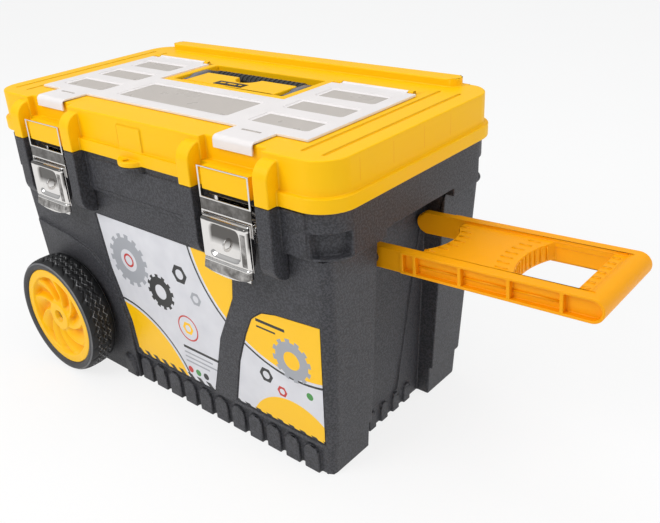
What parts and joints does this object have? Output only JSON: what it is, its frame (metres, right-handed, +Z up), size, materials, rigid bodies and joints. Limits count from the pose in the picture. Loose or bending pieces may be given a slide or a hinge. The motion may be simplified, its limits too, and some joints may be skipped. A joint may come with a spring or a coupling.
{
  "type": "wheeled plastic tool chest",
  "caption": "Wheeled plastic tool chest with a hinged lid, clear organiser cover, draw latches, folding carry handle, swing-out pull handle and tote tray.",
  "frame": {"origin": "middle of the tub's footprint on the floor", "axes": "+X towards the pull handle, -Y the latch side, +Z up"},
  "size_m": [0.8352, 0.39, 0.4115],
  "materials": {
    "black_plastic": "fine texture",
    "yellow_plastic": "satin",
    "orange_plastic": "satin",
    "clear_plastic": "milky clear",
    "grey_plastic": "matte",
    "label": "printed film",
    "rubber": "matte",
    "steel": "bright",
    "chrome": "polished"
  },
  "bodies": {
    "root": {"body_tub": "black_plastic", "wheel_axles": "steel", "axle_caps": "steel", "latch_base_left": "chrome", "latch_base_right": "chrome", "latch_rivets": "chrome", "latch_lever_pins": "steel", "lid_hinge_pins": "steel", "pull_handle_pins": "steel", "centre_label": "label", "side_label": "label", "tote_tray": "grey_plastic", "tote_tray_handle": "yellow_plastic"},
    "lid": {"lid_shell": "yellow_plastic", "organiser_bin_left": "grey_plastic", "organiser_bin_centre": "grey_plastic", "organiser_bin_right": "grey_plastic", "cover_hinge_pins": "steel", "carry_handle_pins": "steel"},
    "organiser_cover": {"organiser_cover": "clear_plastic"},
    "carry_handle": {"carry_handle_bail": "black_plastic", "carry_handle_grip": "black_plastic"},
    "pull_handle": {"pull_handle": "orange_plastic"},
    "latch_lever_left": {"latch_lever_left": "chrome", "latch_frame_pins_left": "chrome"},
    "latch_frame_left": {"latch_frame_left": "chrome"},
    "latch_lever_right": {"latch_lever_right": "chrome", "latch_frame_pins_right": "chrome"},
    "latch_frame_right": {"latch_frame_right": "chrome"},
    "front_wheel": {"wheel_disc_front": "yellow_plastic", "tyre_front": "rubber"},
    "rear_wheel": {"wheel_disc_rear": "yellow_plastic", "tyre_rear": "rubber"}
  },
  "joints": [
    {"name": "lid_hinge", "type": "hinge", "parent": "root", "child": "lid", "pos_m": [0, 0.169, 0.35], "axis": [-1, 0, 0], "range_deg": [0, 100]},
    {"name": "cover_hinge", "type": "hinge", "parent": "lid", "child": "organiser_cover", "pos_m": [0, 0.0835, 0.403], "axis": [-1, 0, 0], "range_deg": [0, 100]},
    {"name": "carry_handle_pivot", "type": "hinge", "parent": "lid", "child": "carry_handle", "pos_m": [0, 0.011, 0.3914], "axis": [1, 0, 0], "range_deg": [0, 90]},
    {"name": "pull_handle_pivot", "type": "hinge", "parent": "root", "child": "pull_handle", "pos_m": [0.27548, 0, 0.262], "axis": [0, -1, 0], "range_deg": [-92.8, 30]},
    {"name": "left_latch_lever", "type": "hinge", "parent": "root", "child": "latch_lever_left", "pos_m": [-0.1685, -0.164, 0.318], "axis": [-1, 0, 0], "range_deg": [0, 100]},
    {"name": "left_latch_frame", "type": "hinge", "parent": "latch_lever_left", "child": "latch_frame_left", "pos_m": [-0.1685, -0.1675, 0.31], "axis": [1, 0, 0], "range_deg": [0, 110]},
    {"name": "right_latch_lever", "type": "hinge", "parent": "root", "child": "latch_lever_right", "pos_m": [0.1685, -0.164, 0.318], "axis": [-1, 0, 0], "range_deg": [0, 100]},
    {"name": "right_latch_frame", "type": "hinge", "parent": "latch_lever_right", "child": "latch_frame_right", "pos_m": [0.1685, -0.1675, 0.31], "axis": [1, 0, 0], "range_deg": [0, 110]},
    {"name": "front_wheel_spin", "type": "hinge", "parent": "root", "child": "front_wheel", "pos_m": [-0.197, -0.174, 0.0879], "axis": [0, 1, 0], "continuous": true},
    {"name": "rear_wheel_spin", "type": "hinge", "parent": "root", "child": "rear_wheel", "pos_m": [-0.197, 0.174, 0.0879], "axis": [0, 1, 0], "continuous": true}
  ],
  "couplings": [
    {"joint": "left_latch_frame", "follows": "left_latch_lever", "ratio": 1.1},
    {"joint": "right_latch_frame", "follows": "right_latch_lever", "ratio": 1.1}
  ]
}
